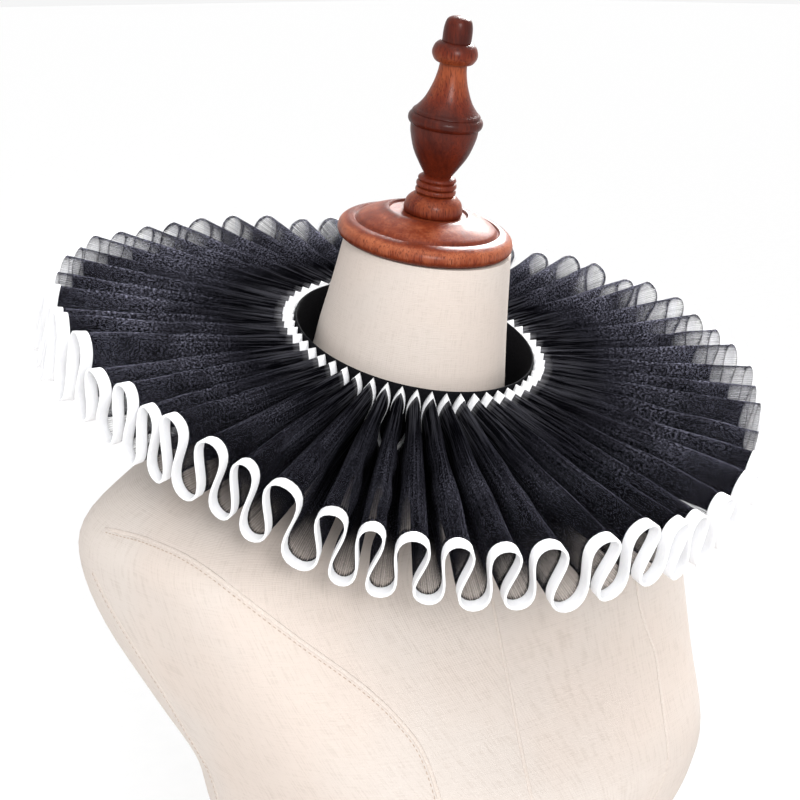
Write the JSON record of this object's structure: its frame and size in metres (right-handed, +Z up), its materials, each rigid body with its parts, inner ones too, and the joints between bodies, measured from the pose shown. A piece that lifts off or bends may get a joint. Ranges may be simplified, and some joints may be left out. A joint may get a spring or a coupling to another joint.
{
  "type": "ruffled collar on a dress form",
  "caption": "Wide pleated sheer ruff with ribbon-bound edges and a neck band, standing out round the neck of a limbless dress form with a turned cap and finial.",
  "frame": {"origin": "middle of the dress form's flat underside, on the surface that it stands on", "axes": "+Z up, the wearer's front faces -Y, the wearer's left is +X"},
  "size_m": [0.445, 0.4743, 0.7796],
  "materials": {
    "form_linen": "plain woven cream linen cover, matt",
    "turned_wood": "red-brown stained and lacquered turned wood, glossy",
    "band_cloth": "matt black cloth",
    "white_ribbon": "white ribbon with a soft sheen",
    "black_organza": "sheer black organza, see-through in one layer"
  },
  "bodies": {
    "root": {"form_body": "form_linen", "neck_cap": "turned_wood", "finial": "turned_wood", "neck_band": "band_cloth", "inner_ribbon": "white_ribbon", "ruffle": "black_organza", "outer_ribbon": "white_ribbon"}
  },
  "joints": []
}
